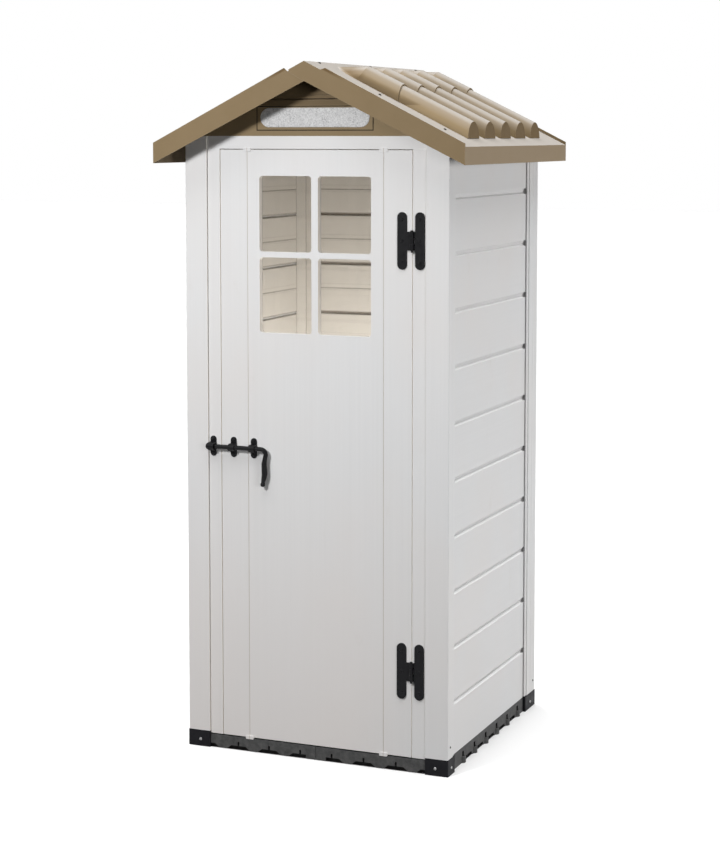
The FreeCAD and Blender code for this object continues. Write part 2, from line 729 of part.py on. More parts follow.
def barrel_cone(course, y, skin):
    """Cone whose back is a barrel tile, thinner by the skin for the hollow inside it."""
    radii = []
    centres = []
    normal = vec(math.sin(PITCH_ANGLE), 0, math.cos(PITCH_ANGLE))
    for x, chord, rise in zip((course["start"], course["end"]), course["chords"], course["rises"]):
        radius = (chord ** 2 / 4 + rise ** 2) / (2 * rise)
        radii.append(radius)
        centres.append(vec(x, y, RIDGE_TOP - SLOPE * x) + normal * (rise - radius))
    axis = centres[1] - centres[0]
    over = 60.0 / axis.Length
    grow = (radii[1] - radii[0]) * over
    length = axis.Length * (1 + 2 * over)
    first = radii[0] - grow - skin
    last = radii[1] + grow - skin
    return Part.makeCone(first, last, length, centres[0] - axis * over, axis)


def level_nose(start, y, skin):
    """Level round-backed bar that the upper tile follows where it rises out of the plate."""
    radius = NOSE_R - skin
    axis_z = RIDGE_TOP - SLOPE * start - NOSE_R
    end = UPPER_COURSE["end"] + NOSE_R
    back = Part.makeCylinder(radius, end - start, vec(start, y, axis_z), vec(1, 0, 0))
    return back.fuse(box(start, end, y - radius, y + radius, axis_z - 4 * NOSE_R, axis_z))


def tile_row(y, start):
    """Tiles of one row, and the hollows under them that open below the plate."""
    tiles = []
    hollows = []
    under = UPPER_COURSE["end"] + TILE_END_WALL
    low_start = LOWER_COURSE["start"]
    courses = ((UPPER_COURSE, start, start + 3 * TILE_END_WALL), (LOWER_COURSE, low_start, under))
    for course, first, hollow_first in courses:
        last = course["end"]
        tile = barrel_cone(course, y, 0).common(slope_slab(first, last, y, -1.0, TILE_TALL))
        rim = [e for e in tile.Edges if abs(e.CenterOfMass.x - last) < 0.1]
        lip = max(rim, key=lambda e: e.Length)
        tile = tile.makeChamfer(TILE_ROUND, [lip])
        room = slope_slab(hollow_first, last - TILE_END_WALL, y, -2 * PLATE_THICK, TILE_TALL)
        hollow = barrel_cone(course, y, TILE_SKIN).common(room)
        if course is UPPER_COURSE:
            tile = tile.common(level_nose(start, y, 0))
            hollow = hollow.common(level_nose(start, y, TILE_SKIN))
        tiles.append(tile)
        hollows.append(hollow)
    return tiles, hollows


def roof_half(fascia, plate, tile_start, set_back):
    """Roof half on the right: plate, front and rear fascia, eave skirt and two courses of tiles."""
    inner = ROOF_HALF_D - SKIRT
    outer = ROOF_HALF_D - set_back
    body = prism_y(plate, -inner, inner)
    tiles = []
    hollows = []
    for i in range(TILE_ROWS):
        row_tiles, row_hollows = tile_row((i - (TILE_ROWS - 1) / 2) * TILE_PITCH, tile_start)
        tiles += row_tiles
        hollows += row_hollows
    body = body.fuse(tiles).cut(hollows)
    ends = [prism_y(fascia, -outer, -inner), prism_y(fascia, inner, outer)]
    skirt_x = ROOF_HALF_W - SKIRT
    skirt = box(skirt_x, ROOF_HALF_W, -inner, inner, FASCIA_LOW, PLATE_EAVE - 1)
    return body.fuse(ends + [skirt]).removeSplitter()


# Door

def joiner_groove(x):
    """Upright groove that takes a joiner, as a block that reaches past both door ends."""
    y0 = FACE_Y + JOINER_SET
    y1 = FACE_Y + DOOR_THICK - JOINER_SET
    return box(x - JOINER_HALF, x + JOINER_HALF, y0, y1, DOOR_BOTTOM - 1, DOOR_TOP + 1)


def door_panel():
    """Centre board of the door with four window openings and hollow channels below them."""
    back = FACE_Y + DOOR_THICK
    x1 = PANEL_LINE
    panel = box(-x1, x1, FACE_Y, back, DOOR_BOTTOM, DOOR_TOP)
    front = [e for e in panel.Edges if abs(e.CenterOfMass.y - FACE_Y) < 0.1]
    panel = panel.makeChamfer(EDGE, [e for e in front if abs(e.CenterOfMass.x) > x1 - 0.1])
    cuts = []
    middle = (WINDOW_LOW + WINDOW_HIGH) / 2
    for side in (-1, 1):
        inner = side * BAR_WIDE / 2
        outer = side * WINDOW_HALF
        xs = (min(inner, outer), max(inner, outer))
        for z0, z1 in ((WINDOW_LOW, middle - BAR_TALL / 2), (middle + BAR_TALL / 2, WINDOW_HIGH)):
            cuts.append(rounded_window(xs[0], xs[1], z0, z1, FACE_Y - 1, back + 1, PANE_ROUND))
        cuts.append(joiner_groove(side * x1))
    reach = WINDOW_HALF + PANE_LAP
    low = WINDOW_LOW - PANE_LAP
    cuts.append(box(-reach, reach, back - PANE_THICK, back + 1, low, WINDOW_HIGH + PANE_LAP))
    half = x1 - JOINER_HALF - JOINER_WALL
    span = 2 * half / CHANNEL_COUNT
    wall = CHANNEL_WALL / 2
    for i in range(CHANNEL_COUNT):
        x0 = -half + i * span + wall
        x1 = x0 + span - CHANNEL_WALL
        cuts.append(box(x0, x1, FACE_Y + DOOR_SKIN, back - DOOR_SKIN, 0, CHANNEL_TOP))
    return panel.cut(cuts).removeSplitter()


def door_stile():
    """Right stile of the door: hollow upright board with a groove for the joiner."""
    back = FACE_Y + DOOR_THICK
    x0 = PANEL_LINE
    x1 = DOOR_LINE - DOOR_GAP / 2
    stile = box(x0, x1, FACE_Y, back, DOOR_BOTTOM, DOOR_TOP)
    front = [e for e in stile.Edges if abs(e.CenterOfMass.y - FACE_Y) < 0.1]
    stile = stile.makeChamfer(EDGE, [e for e in front if e.Length > DOOR_TOP - DOOR_BOTTOM - 1])
    cuts = [joiner_groove(x0)]
    first = x0 + JOINER_HALF + JOINER_WALL
    last = x1 - DOOR_SKIN
    middle = (first + last + DOOR_SKIN) / 2
    half = CHANNEL_WALL / 2
    for low, high in ((first, middle - half), (middle + half, last)):
        cuts.append(box(low, high, FACE_Y + DOOR_SKIN, back - DOOR_SKIN, 0, DOOR_TOP + 1))
    return stile.cut(cuts)


def door_joiner():
    """Bar that locks a stile to the centre board, with a rounded tab lapping over each end."""
    x = PANEL_LINE
    back = FACE_Y + DOOR_THICK
    bar = joiner_groove(x).common(box(0, HALF_W, FACE_Y, back, DOOR_BOTTOM, DOOR_TOP))
    front = FACE_Y - TAB_THICK
    ends = []
    for edge, out, reach in ((DOOR_BOTTOM, -1, 3.0), (DOOR_TOP, 1, 1.2)):
        z0, z1 = sorted((edge, edge + out * reach))
        ends.append(box(x - TAB_HALF, x + TAB_HALF, front, back - 1, z0, z1))
        z0, z1 = sorted((edge - out * TAB_LAP, edge + out * TAB_OVER))
        lap = box(x - TAB_HALF, x + TAB_HALF, front, FACE_Y, z0, z1)
        corners = [e for e in lap.Edges if abs(e.tangentAt(e.FirstParameter).y) > 0.99]
        lap = lap.makeFillet(3.0, corners)
        z0, z1 = sorted((edge + out * reach, edge + out * (TAB_OVER + 1)))
        ends.append(lap.cut(box(x - TAB_HALF, x + TAB_HALF, FACE_Y - 0.3, FACE_Y, z0, z1)))
    return bar.fuse(ends).removeSplitter()


def door_window_pane():
    """Clear sheet in the rebate behind the four openings."""
    back = FACE_Y + DOOR_THICK
    reach = WINDOW_HALF + PANE_LAP
    return box(-reach, reach, back - PANE_THICK, back, WINDOW_LOW - PANE_LAP, WINDOW_HIGH + PANE_LAP)


# Hinges

def knuckle(z0, z1):
    return Part.makeCylinder(KNUCKLE_R, z1 - z0, vec(PIN_X, PIN_Y, z0))


def leaf(height, bar_x, spans, bore):
    """Hinge leaf: upright bar with round ends, a bridge and its own knuckles."""
    y1 = FACE_Y
    y0 = FACE_Y - LEAF_THICK
    bar = stadium(bar_x, height, LEAF_WIDE, LEAF_TALL, y0, y1)
    front = [e for e in bar.Edges if abs(e.CenterOfMass.y - y0) < 0.01]
    bar = bar.makeChamfer(0.9, front)
    toward = 1 if bar_x < PIN_X else -1
    clear = PIN_X - toward * (KNUCKLE_R + NECK_EASE)
    far = bar_x + toward * (LEAF_WIDE / 2 - 2)
    half = BRIDGE_TALL / 2
    bridge = box(min(far, clear), max(far, clear), y0, y1, height - half, height + half)
    parts = [bridge]
    for low, high in spans:
        neck_end = PIN_X - toward * (PIN_R + NECK_EASE)
        neck = box(min(far, neck_end), max(far, neck_end), y0, y1 - 0.6, height + low, height + high)
        parts += [neck, knuckle(height + low, height + high)]
    body = bar.fuse(parts)
    cuts = [Part.makeCylinder(bore, LEAF_TALL, vec(PIN_X, PIN_Y, height - LEAF_TALL / 2))]
    for dz in HINGE_SCREWS:
        cuts.append(Part.makeCylinder(2.2, 10, vec(bar_x, y0 - 1, height + dz), vec(0, 1, 0)))
    return body.cut(cuts).removeSplitter()


def frame_leaf(height):
    half = BRIDGE_TALL / 2
    third = half / 3
    return leaf(height, FRAME_LEAF_X, [(-half, -third - KNUCKLE_GAP), (third + KNUCKLE_GAP, half)], PIN_R)


def door_leaf(height):
    third = BRIDGE_TALL / 6
    return leaf(height, DOOR_LEAF_X, [(-third, third)], PIN_R + PIN_EASE)


def hinge_pin(height):
    """Pin with a low head above the knuckles and a peened end below."""
    half = BRIDGE_TALL / 2
    shaft = Part.makeCylinder(PIN_R, BRIDGE_TALL + 5, vec(PIN_X, PIN_Y, height - half - 5))
    head = Part.makeCylinder(PIN_HEAD_R, 2.4, vec(PIN_X, PIN_Y, height + half))
    dome = Part.makeCone(PIN_HEAD_R, PIN_END_R, 1.8, vec(PIN_X, PIN_Y, height + half + 2.4))
    foot_end = Part.makeCone(PIN_END_R, PIN_R, 1.5, vec(PIN_X, PIN_Y, height - half - 6.5))
    return shaft.fuse([head, dome, foot_end]).removeSplitter()


def hinge_screws(bar_x):
    out = vec(0, -1, 0)
    y0 = FACE_Y - LEAF_THICK
    spots = [vec(bar_x, y0, height + dz) for height in HINGE_HEIGHTS.values() for dz in HINGE_SCREWS]
    return Part.makeCompound([pan_screw(at, out) for at in spots])


# Latch

def strap_plate(x):
    plate = stadium(x, BOLT_Z, STRAP_WIDE, STRAP_TALL, FACE_Y - STRAP_THICK, FACE_Y)
    front = [e for e in plate.Edges if abs(e.CenterOfMass.y - (FACE_Y - STRAP_THICK)) < 0.01]
    return plate.makeChamfer(0.8, front)


def saddle(x, radius):
    """Raised loop across the strap that the bolt runs through."""
    x0 = x - STRAP_WIDE / 2
    legs = box(x0, x0 + STRAP_WIDE, BOLT_Y, FACE_Y, BOLT_Z - radius, BOLT_Z + radius)
    crown = Part.makeCylinder(radius, STRAP_WIDE, vec(x0, BOLT_Y, BOLT_Z), vec(1, 0, 0))
    return legs.fuse(crown)


def strap_holes(x):
    holes = []
    for side in (-1, 1):
        at = vec(x, FACE_Y - 20, BOLT_Z + side * STRAP_SCREWS)
        holes.append(Part.makeCylinder(2.2, 21, at, vec(0, 1, 0)))
    return holes


def door_strap(x):
    """Strap on the door with a round bore that guides the bolt."""
    body = strap_plate(x).fuse(saddle(x, SADDLE_R))
    start = vec(x - STRAP_WIDE / 2 - 1, BOLT_Y, BOLT_Z)
    bore = Part.makeCylinder(BOLT_R + BOLT_EASE, STRAP_WIDE + 2, start, vec(1, 0, 0))
    return body.cut([bore] + strap_holes(x)).removeSplitter()


def latch_keeper():
    """Strap on the jamb with a looser square loop that takes the bolt's tip."""
    body = strap_plate(KEEPER_X).fuse(saddle(KEEPER_X, KEEPER_R))
    x0 = KEEPER_X - STRAP_WIDE / 2 - 1
    room = KEEPER_ROOM
    back = FACE_Y - STRAP_THICK
    loop = box(x0, x0 + STRAP_WIDE + 2, BOLT_Y - room, back, BOLT_Z - room, BOLT_Z + room)
    return body.cut([loop] + strap_holes(KEEPER_X)).removeSplitter()


def latch_keeper_cap():
    """Rounded stop that closes the far side of the keeper."""
    x1 = KEEPER_X - STRAP_WIDE / 2
    body = Part.makeCylinder(9.0, 5.0, vec(x1 - 5.0, BOLT_Y, BOLT_Z), vec(1, 0, 0))
    nose = Part.makeCone(5.5, 9.0, 3.0, vec(x1 - 8.0, BOLT_Y, BOLT_Z), vec(1, 0, 0))
    return body.fuse(nose).removeSplitter()


def bolt_rod():
    """Straight sliding bar with a chamfered tip."""
    length = HANDLE_START - BOLT_TIP
    bar = Part.makeCylinder(BOLT_R, length, vec(BOLT_TIP, BOLT_Y, BOLT_Z), vec(1, 0, 0))
    tip = [e for e in bar.Edges if abs(e.CenterOfMass.x - BOLT_TIP) < 0.01]
    return bar.makeChamfer(1.5, tip)


def bolt_handle():
    """Bent end of the bolt: straight stub, quarter bend and a curved grip with a ball."""
    along = vec(1, 0, 0)
    rings = [ring(vec(HANDLE_START, BOLT_Y, BOLT_Z), along, BOLT_R, GRIP_SIDES)]
    for i in range(BEND_STEPS + 1):
        angle = math.pi / 2 * i / BEND_STEPS
        out = vec(math.cos(angle), 0, -math.sin(angle))
        x = BEND_START + BEND_R * math.sin(angle)
        z = BOLT_Z - BEND_R + BEND_R * math.cos(angle)
        rings.append(ring(vec(x, BOLT_Y, z), out, BOLT_R, GRIP_SIDES))
    x = BEND_START + BEND_R
    z = BOLT_Z - BEND_R
    down = vec(0, 0, -1)
    for drop, shift, radius in GRIP[1:]:
        rings.append(ring(vec(x + shift, BOLT_Y, z - drop), down, radius, GRIP_SIDES))
    return Part.makeLoft(rings, True, True)


# Screws

def foot_screws():
    """One screw in each outward face of the four corner boots."""
    screws = []
    for sx in (-1, 1):
        for sy, leg in ((-1, FRONT_POST_DEPTH), (1, REAR_POST_DEPTH)):
            face_y = sy * (HALF_D + FOOT_PROUD)
            face_x = sx * (HALF_W + FOOT_PROUD)
            front = vec(sx * (HALF_W - FOOT_SCREW_IN), face_y, FOOT_SCREW_Z)
            side = vec(face_x, sy * (HALF_D - leg / 2), FOOT_SCREW_Z)
            screws.append(pan_screw(front, vec(0, sy, 0), 4.5))
            screws.append(pan_screw(side, vec(sx, 0, 0), 4.5))
    return Part.makeCompound(screws)


def post_screws():
    """Small screws low on the side of each post."""
    screws = []
    for sx in (-1, 1):
        for sy in (-1, 1):
            at = vec(sx * HALF_W, sy * (HALF_D - POST_SCREW_IN), POST_SCREW_Z)
            screws.append(pan_screw(at, vec(sx, 0, 0), 3.4, 1.6))
    return Part.makeCompound(screws)


def roof_screws():
    """Screws along both ends of each roof half and on the ridge cap."""
    screws = []
    up = vec(SLOPE, 0, 1).normalize()
    for sx in (-1, 1):
        for y in (-372.0, 372.0):
            for x in (190.0, 385.0):
                at = vec(sx * x, y, RIDGE_TOP - SLOPE * x)
                screws.append(pan_screw(at, vec(sx * up.x, 0, up.z), 5.0, 2.4))
    for y in (-378.0, 0.0, 378.0):
        at = vec(8.0, y, RIDGE_TOP - SLOPE * 8.0)
        screws.append(pan_screw(at, up, 5.0, 2.4))
    return Part.makeCompound(screws)


def drill_for(screws, shape):
    """Cut the shanks of a group of screws out of the piece that holds them."""
    return shape.cut(screws.Solids)


def latch_screws(places):
    out = vec(0, -1, 0)
    y0 = FACE_Y - STRAP_THICK
    screws = []
    for x in places:
        for side in (-1, 1):
            screws.append(pan_screw(vec(x, y0, BOLT_Z + side * STRAP_SCREWS), out, 4.2, 2.0))
    return Part.makeCompound(screws)


def build():
    """Every node by name."""
    nodes = {}
    tile = floor_tile()
    nodes["floor_tile_right"] = tile
    nodes["floor_tile_left"] = mirror_x(tile)
    feet = foot_screws()
    front_foot = foot(FRONT_POST_DEPTH)
    rear_foot = mirror_y(foot(REAR_POST_DEPTH))
    sides = {"right": lambda s: s, "left": mirror_x}
    post_fix = post_screws()
    front_post = post(FRONT_POST_DEPTH, FRAME_RECESS)
    back_post = rear_post()
    boards = side_boards()
    right_start = UPPER_COURSE["start"]
    right_roof = roof_half(fascia_outline_right(), plate_outline_right(), right_start, 0.0)
    fascia = mirrored(fascia_outline_left())
    left_roof = roof_half(fascia, mirrored(plate_outline_left()), UNDER_CAP, EDGE)
    roof = {"right": right_roof, "left": mirror_x(left_roof)}
    roof_fix = roof_screws()
    for side, turn in sides.items():
        nodes["foot_front_" + side] = drill_for(feet, turn(front_foot))
        nodes["foot_rear_" + side] = drill_for(feet, turn(rear_foot))
        nodes["post_front_" + side] = drill_for(post_fix, turn(front_post))
        nodes["post_rear_" + side] = drill_for(post_fix, turn(back_post))
        nodes["wall_boards_" + side] = turn(boards)
        nodes["eave_rail_" + side] = turn(eave_rail())
        nodes["jamb_" + side] = turn(jamb())
        nodes["roof_half_" + side] = drill_for(roof_fix, roof[side])
        nodes["door_stile_" + side] = turn(door_stile())
        nodes["door_joiner_" + side] = turn(door_joiner())
    nodes["wall_boards_rear"] = rear_boards()
    nodes["rear_rail"] = rear_rail()
    nodes["front_header"] = front_header()
    nodes["gable_lower_front"] = gable_lower(True)
    nodes["gable_upper_front"] = gable_upper()
    nodes["gable_lower_rear"] = mirror_y(gable_lower(False))
    nodes["gable_upper_rear"] = mirror_y(gable_upper())
    nodes["gable_light"] = gable_light()
    nodes["ridge_beam"] = drill_for(roof_fix, ridge_beam())
    nodes["door_panel"] = door_panel()
    nodes["door_window_pane"] = door_window_pane()
    for name, height in HINGE_HEIGHTS.items():
        nodes["hinge_frame_leaf_" + name] = frame_leaf(height)
        nodes["hinge_door_leaf_" + name] = door_leaf(height)
        nodes["hinge_pin_" + name] = hinge_pin(height)
    nodes["hinge_frame_screws"] = hinge_screws(FRAME_LEAF_X)
    nodes["hinge_door_screws"] = hinge_screws(DOOR_LEAF_X)
    nodes["latch_keeper"] = latch_keeper()
    nodes["latch_keeper_cap"] = latch_keeper_cap()
    nodes["latch_strap_outer"] = door_strap(STRAP_OUTER_X)
    nodes["latch_strap_inner"] = door_strap(STRAP_INNER_X)
    nodes["keeper_screws"] = latch_screws([KEEPER_X])
    nodes["strap_screws"] = latch_screws([STRAP_OUTER_X, STRAP_INNER_X])
    nodes["bolt_rod"] = bolt_rod()
    nodes["bolt_handle"] = bolt_handle()
    nodes["foot_screws"] = feet
    nodes["post_screws"] = post_fix
    nodes["roof_screws"] = roof_fix
    return nodes


def mirrored(outline):
    """The same outline on the other side of the ridge, still running the same way round."""
    return [(-x, z) for x, z in outline]


os.makedirs("parts", exist_ok=True)
for node, shape in build().items():
    shape.exportStep("parts/" + node + ".step")
    print(node, len(shape.Solids), round(shape.Volume / 1000), shape.isValid())
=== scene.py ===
"""Looks for a tall narrow garden storage cabinet: white boarded walls, brown tiled roof.

Lengths are in metres, in the frame of the CAD: the origin is on the ground under the middle of
the cabinet, Z is up and the door faces -Y. Colours are linear.
"""

import math

import bpy
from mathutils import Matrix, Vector


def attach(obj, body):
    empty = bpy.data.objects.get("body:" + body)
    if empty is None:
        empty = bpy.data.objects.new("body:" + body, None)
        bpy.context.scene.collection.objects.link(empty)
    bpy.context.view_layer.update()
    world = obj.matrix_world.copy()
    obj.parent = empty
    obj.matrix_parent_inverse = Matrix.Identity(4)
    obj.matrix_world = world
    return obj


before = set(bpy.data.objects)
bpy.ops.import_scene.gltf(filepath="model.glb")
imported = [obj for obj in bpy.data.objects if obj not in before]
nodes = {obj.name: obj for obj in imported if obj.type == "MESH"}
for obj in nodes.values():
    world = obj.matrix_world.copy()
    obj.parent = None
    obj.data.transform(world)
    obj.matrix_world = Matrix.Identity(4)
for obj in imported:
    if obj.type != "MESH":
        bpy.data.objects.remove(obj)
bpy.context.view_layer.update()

# Camera: stands right of the front, looking slightly down
CAMERA_AT = (2.3271, -5.6300, 1.8170)
CAMERA_TURN = math.radians(22.468)
CAMERA_TILT = math.radians(-4.747)
CAMERA_LENS = 85.95
CAMERA_SENSOR = 36.0
CAMERA_SHIFT = (-0.0088, -0.1445)

# Sky: dim, with a bright patch overhead that fades in by the height of a direction
ROOM_LIGHT = 0.02
SKY_LIGHT = 3.7
SKY_FROM = 0.74
SKY_FULL = 0.90

# Lamps: name, place, aim, width and height, power, tint
WHITE_LIGHT = (1.0, 1.0, 1.0)
WARM_LIGHT = (1.0, 0.975, 0.93)
LAMPS = [
    ("key", (-1.03, -3.22, 2.75), (0.0, -0.4, 1.2), (0.55, 0.55), 82.0, WHITE_LIGHT),
    ("fill", (4.0, -3.0, 1.4), (0.0, -0.4, 0.9), (1.2, 1.2), 45.0, WHITE_LIGHT),
    ("side", (4.6, 1.4, 1.25), (0.4, 0.0, 0.7), (2.4, 2.0), 92.0, WHITE_LIGHT),
    ("inside", (0.05, -0.21, 0.74), (-0.06, 0.37, 1.22), (0.3, 0.2), 4.2, WARM_LIGHT),
    ("rear", (-3.4, 3.2, 2.6), (0.0, 0.2, 1.0), (1.6, 1.6), 70.0, WHITE_LIGHT),
]

# Studio floor: half its side, and the half sizes of the painted shadow under the cabinet
FLOOR_REACH = 40.0
FLOOR_SHADOW_PATCH = (0.3995, 0.3945)
PAPER = ((0.93, 0.93, 0.93), (0.95, 0.95, 0.95))
PATCH_SHADOW = (0.01, 0.01, 0.01)

# Walls and door
BOARD_PITCH = 0.160
BOARD_BASE = 0.0343
LINING_X = 0.3775
LINING_Y = 0.3905
DEEP_Y = 0.3780
BOARD_END_Y = 0.345
SEAM_X = 0.2118
SEAM_HALF = 0.0007

# Roof and gables
RIDGE_Z = 2.0172
SLOPE = 0.4974
TILE_START_X = 0.075
EAVE_FACE_X = 0.468
ROOF_END_Y = 0.4650
SOFFIT_Z = 1.893
LIGHT_Z = 1.858
LIGHT_GROOVE_X = (0.1781, 0.1811)
LIGHT_GROOVE_Z = (0.0321, 0.0351)
LIGHT_GROOVE_Y = -0.388

# Floor tiles: what lies inside these is a recess or the underside
SKIRT_X = 0.3975
SKIRT_Y = 0.3925
DECK_Z = 0.0365

# Screws: where their heads end, and how far the arms of each cross reach
FOOT_SCREW_X = 0.372
FOOT_SCREW_Z = 0.021
FOOT_SCREW_TOPS = (0.4132, 0.4032)
FOOT_LEGS = ((-1, 0.056), (1, 0.097))
WALL_END_Y = 0.400
POST_SCREW = (0.4116, 0.3805, 0.0816)
ROOF_SCREW_X = (0.190, 0.385)
ROOF_SCREW_Y = 0.372
RIDGE_SCREW_X = 0.008
RIDGE_SCREW_Y = 0.378
ROOF_SCREW_TALL = 0.0024
FOOT_CROSS = 0.0027
POST_CROSS = 0.0017
ROOF_CROSS = 0.0030
CROSS_ARM = 0.22
CROSS_SUNK = 0.0003
CROSS_PROUD = 0.00015

# White plastic
WHITE = ((0.782, 0.782, 0.785), (0.802, 0.802, 0.805))
WHITE_DIRT = (0.80, 0.775, 0.76)
WHITE_SCUFF = (0.70, 0.67, 0.64)
WHITE_LOW_DOWN = (0.85, 0.805, 0.78)
WHITE_UPFACE_LIT = (0.86, 0.86, 0.86)
WHITE_DOWNFACE_SHADE = (0.68, 0.675, 0.675)
WHITE_RUBBED_LIT_EDGE = (0.96, 0.96, 0.955)
WHITE_LIT_GAP = (0.97, 0.92, 0.84)
SEAM_LINE = (0.46, 0.39, 0.31)
LINING = (0.775, 0.745, 0.70)
DOOR_LINING_LIT = (0.95, 0.91, 0.86)
CREASE = (0.10, 0.07, 0.04)
BOARD_END_SHADE = (0.006, 0.005, 0.004)

# Brown roof plastic
BROWN = ((0.250, 0.184, 0.101), (0.280, 0.208, 0.118))
BROWN_STREAK = (0.30, 0.225, 0.132)
BROWN_SLOPE_LIT = (0.36, 0.305, 0.24)
BROWN_SKY_LIT = (0.52, 0.49, 0.455)
BROWN_NOSE_SHADE = (0.165, 0.115, 0.06)
BROWN_EAVE_LIT = (0.33, 0.255, 0.17)
BROWN_WORN_LIT_EDGE = (0.50, 0.42, 0.31)
BROWN_GROOVE_SHADE = (0.03, 0.021, 0.012)
BROWN_DOWNFACE_SHADE = (0.05, 0.035, 0.02)
TILE_START_SHADE = (0.62, 0.54, 0.43)
FASCIA_SHADE = (0.88, 0.86, 0.84)
SOFFIT_SHADE = (0.62, 0.60, 0.58)

# Dark plastic, black plastic and iron, metal
FLOOR_TILE = ((0.050, 0.050, 0.051), (0.115, 0.115, 0.113))
FLOOR_TILE_EDGE = (0.16, 0.16, 0.16)
FLOOR_TILE_SHADE_INSIDE = (0.002, 0.002, 0.002)
BLACK_EDGE = (0.05, 0.05, 0.052)
FOOT_BLACK = ((0.006, 0.006, 0.008), (0.012, 0.012, 0.014))
IRON_BLACK = ((0.005, 0.005, 0.006), (0.010, 0.010, 0.011))
DRIVE_SHADE_BLACK = ((0.004, 0.004, 0.004), (0.010, 0.010, 0.010))
BEAM = (0.62, 0.62, 0.63)
ZINC = (0.42, 0.42, 0.42)
DULL_ZINC = (0.05, 0.045, 0.038)

# Panes
CLEAR = ((0.93, 0.94, 0.93), (0.80, 0.80, 0.78))
FROSTED = ((0.45, 0.45, 0.455), (0.78, 0.78, 0.78))
SPECK = (0.10, 0.10, 0.105)


def even(scale):
    return (scale, scale, scale)


class Look:
    """A material built node by node, with the object's own metres as its coordinates."""

    def __init__(self, name, **values):
        self.material = bpy.data.materials.new(name)
        self.material.use_nodes = True
        self.tree = self.material.node_tree
        self.tree.nodes.clear()
        self.output = self.add("ShaderNodeOutputMaterial")
        self.shader = self.add("ShaderNodeBsdfPrincipled")
        self.join(self.shader.outputs["BSDF"], self.output.inputs["Surface"])
        self.place = self.add("ShaderNodeTexCoord").outputs["Object"]
        for key, value in values.items():
            self.shader.inputs[key.replace("_", " ")].default_value = value

    def add(self, kind, **settings):
        node = self.tree.nodes.new(kind)
        for key, value in settings.items():
            setattr(node, key, value)
        return node

    def join(self, out, into):
        self.tree.links.new(out, into)

    def feed(self, socket, source):
        """Give a socket a number, a colour or another node's output."""
        if isinstance(source, (int, float)):
            socket.default_value = source
        elif isinstance(source, tuple):
            socket.default_value = (*source, 1.0)
        else:
            self.join(source, socket)

    # Patterns

    def stretched(self, stretch):
        """Coordinates multiplied by three numbers, so that a pattern runs long one way."""
        mapping = self.add("ShaderNodeMapping")
        mapping.inputs["Scale"].default_value = stretch
        self.join(self.place, mapping.inputs["Vector"])
        return mapping.outputs["Vector"]

    def noise(self, stretch, detail=3.0, rough=0.55):
        node = self.add("ShaderNodeTexNoise")
        node.inputs["Scale"].default_value = 1.0
        node.inputs["Detail"].default_value = detail
        node.inputs["Roughness"].default_value = rough
        self.join(self.stretched(stretch), node.inputs["Vector"])
        return node.outputs["Fac"]

    def spots(self, stretch):
        node = self.add("ShaderNodeTexVoronoi")
        node.inputs["Scale"].default_value = 1.0
        self.join(self.stretched(stretch), node.inputs["Vector"])
        return node.outputs["Distance"]

    def edges(self, reach, low=0.02, high=0.2):
        """One along the outside and inside edges, fading within a reach."""
        bevel = self.add("ShaderNodeBevel", samples=4)
        bevel.inputs["Radius"].default_value = reach
        dot = self.add("ShaderNodeVectorMath", operation="DOT_PRODUCT")
        self.join(bevel.outputs["Normal"], dot.inputs[0])
        self.join(self.add("ShaderNodeNewGeometry").outputs["Normal"], dot.inputs[1])
        return self.spread(dot.outputs["Value"], 1.0, 0.0, 1.0 - high, 1.0 - low)

    # Where a point is and where its surface looks, both in the object's own axes

    def axis(self, vector, name):
        split = self.add("ShaderNodeSeparateXYZ")
        self.join(vector, split.inputs["Vector"])
        return split.outputs[name]

    def normal(self, name):
        return self.axis(self.add("ShaderNodeTexCoord").outputs["Normal"], name)

    def position(self, name):
        return self.axis(self.place, name)

    def normal_size(self, name):
        return self.maths("ABSOLUTE", self.normal(name))

    def distance(self, name, centre=0.0):
        """How far a point is from a plane across one axis."""
        offset = self.position(name)
        if centre:
            offset = self.maths("SUBTRACT", offset, centre)
        return self.maths("ABSOLUTE", offset)

    # Values and masks

    def maths(self, operation, first, second=0.0):
        node = self.add("ShaderNodeMath", operation=operation)
        for socket, source in zip(node.inputs, (first, second)):
            self.feed(socket, source)
        return node.outputs["Value"]

    def spread(self, value, low, high, low_at=0.35, high_at=0.65):
        """A value stretched between two limits; noise lies mostly from 0.35 to 0.65."""
        node = self.add("ShaderNodeMapRange")
        node.inputs["From Min"].default_value = low_at
        node.inputs["From Max"].default_value = high_at
        node.inputs["To Min"].default_value = low
        node.inputs["To Max"].default_value = high
        self.join(value, node.inputs["Value"])
        return node.outputs["Result"]

    def within(self, value, limit, soft, most=1.0):
        """A mask that is on up to a limit and fades out over a soft band."""
        return self.spread(value, most, 0.0, limit, limit + soft)

    def beyond(self, value, limit, soft, most=1.0):
        """A mask that fades in over a soft band after a limit."""
        return self.spread(value, 0.0, most, limit, limit + soft)

    def both(self, first, second):
        return self.maths("MULTIPLY", first, second)

    def either(self, first, second):
        return self.maths("MAXIMUM", first, second)

    def opposite(self, mask):
        return self.maths("SUBTRACT", 1.0, mask)

    # Colours

    def ramp(self, value, colours, low_at=0.3, high_at=0.7):
        """A colour between two, looked up by a value."""
        node = self.add("ShaderNodeValToRGB")
        ends = node.color_ramp.elements
        for end, at, colour in zip(ends, (low_at, high_at), colours):
            end.position = at
            end.color = (*colour, 1.0)
        self.join(value, node.inputs["Fac"])
        return node.outputs["Color"]

    def mix(self, factor, first, second, blend="MIX"):
        node = self.add("ShaderNodeMix", data_type="RGBA", blend_type=blend)
        sockets = {socket.identifier: socket for socket in node.inputs}
        self.feed(sockets["Factor_Float"], factor)
        self.feed(sockets["A_Color"], first)
        self.feed(sockets["B_Color"], second)
        return next(s for s in node.outputs if s.identifier == "Result_Color")

    def shade(self, factor, colour, by):
        return self.mix(factor, colour, by, "MULTIPLY")

    # The shader's own sockets

    def colour(self, out):
        self.join(out, self.shader.inputs["Base Color"])

